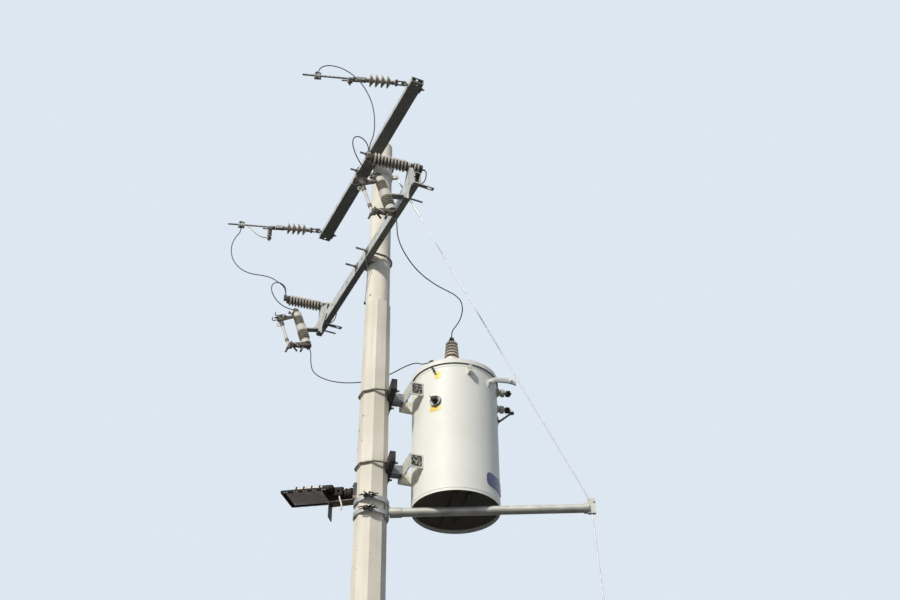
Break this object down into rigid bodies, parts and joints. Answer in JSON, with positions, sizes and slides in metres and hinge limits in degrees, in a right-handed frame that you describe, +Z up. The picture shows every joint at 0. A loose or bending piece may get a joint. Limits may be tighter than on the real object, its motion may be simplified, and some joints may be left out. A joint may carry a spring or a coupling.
{
  "type": "pole mounted transformer",
  "caption": "Concrete pole with crossarms, dead-end insulators, arresters, drop-out cutouts, a hung drum-shaped transformer, a strut-held guy and a street lamp",
  "frame": {"origin": "centre of the pole's foot at ground level", "axes": "+Z up the pole, +Y along the crossarms, +X from the crossarms towards the transformer"},
  "size_m": [2.4909, 2.1824, 9.3],
  "materials": {
    "concrete": "matte",
    "galvanised": "satin",
    "hot_dip_bolts": "satin",
    "porcelain": "gloss",
    "string_porcelain": "gloss",
    "arrester_polymer": "matte",
    "tank_paint": "satin",
    "tank_fittings": "satin",
    "badge_paint": "satin",
    "fuse_tube": "satin",
    "contact_metal": "satin",
    "steel_rope": "satin",
    "lamp_body": "matte",
    "lamp_lens": "gloss",
    "cable_black": "matte"
  },
  "bodies": {
    "pole_assembly": {"pole": "concrete", "upper_crossarm": "galvanised", "lower_crossarm": "galvanised", "arm_saddle": "galvanised", "upper_u_bolt": "hot_dip_bolts", "lower_u_bolt": "hot_dip_bolts", "tank": "tank_paint", "tank_skids": "tank_fittings", "tank_cover": "tank_paint", "cover_band": "tank_fittings", "front_hv_bushing": "porcelain", "rear_hv_bushing": "porcelain", "lv_bushings": "porcelain", "lifting_lugs": "tank_fittings", "badge_plate": "badge_paint", "upper_tank_lug": "tank_fittings", "lower_tank_lug": "tank_fittings", "upper_spacer": "galvanised", "lower_spacer": "galvanised", "upper_hanger_bar": "galvanised", "lower_hanger_bar": "galvanised", "upper_pole_strap": "galvanised", "lower_pole_strap": "galvanised", "strut_foot": "galvanised", "strut_pipe": "galvanised", "strut_bands": "galvanised", "strut_end_fitting": "galvanised", "guy_upper": "steel_rope", "guy_lower": "steel_rope", "guy_band": "galvanised", "anchor_rod": "galvanised", "lamp_arm": "lamp_body", "lamp_housing": "lamp_body", "lamp_lens": "lamp_lens", "near_string_hardware": "hot_dip_bolts", "near_string_insulator": "string_porcelain", "near_dead_end_grip": "steel_rope", "near_arrester": "arrester_polymer", "near_arrester_bracket": "galvanised", "near_cutout_insulator": "porcelain", "near_cutout_top_contact": "contact_metal", "near_cutout_hinge": "contact_metal", "near_cutout_bracket": "galvanised", "far_string_hardware": "hot_dip_bolts", "far_string_insulator": "string_porcelain", "far_dead_end_grip": "steel_rope", "far_arrester": "arrester_polymer", "far_arrester_bracket": "galvanised", "far_cutout_insulator": "porcelain", "far_cutout_top_contact": "contact_metal", "far_cutout_hinge": "contact_metal", "far_cutout_bracket": "galvanised", "far_arrester_jumper": "cable_black", "far_bushing_lead": "cable_black", "far_line_jumper": "cable_black", "near_arrester_jumper": "cable_black", "near_bushing_lead": "cable_black", "near_line_jumper": "cable_black"},
    "near_fuse_tube": {"near_fuse_tube": "fuse_tube"},
    "far_fuse_tube": {"far_fuse_tube": "fuse_tube"}
  },
  "joints": [
    {"name": "near_fuse_hinge", "type": "hinge", "parent": "pole_assembly", "child": "near_fuse_tube", "pos_m": [-0.37802, -0.8, 7.77861], "axis": [0, -1, 0], "range_deg": [0, 150]},
    {"name": "far_fuse_hinge", "type": "hinge", "parent": "pole_assembly", "child": "far_fuse_tube", "pos_m": [-0.37802, 0.95, 7.77861], "axis": [0, -1, 0], "range_deg": [0, 150]}
  ]
}
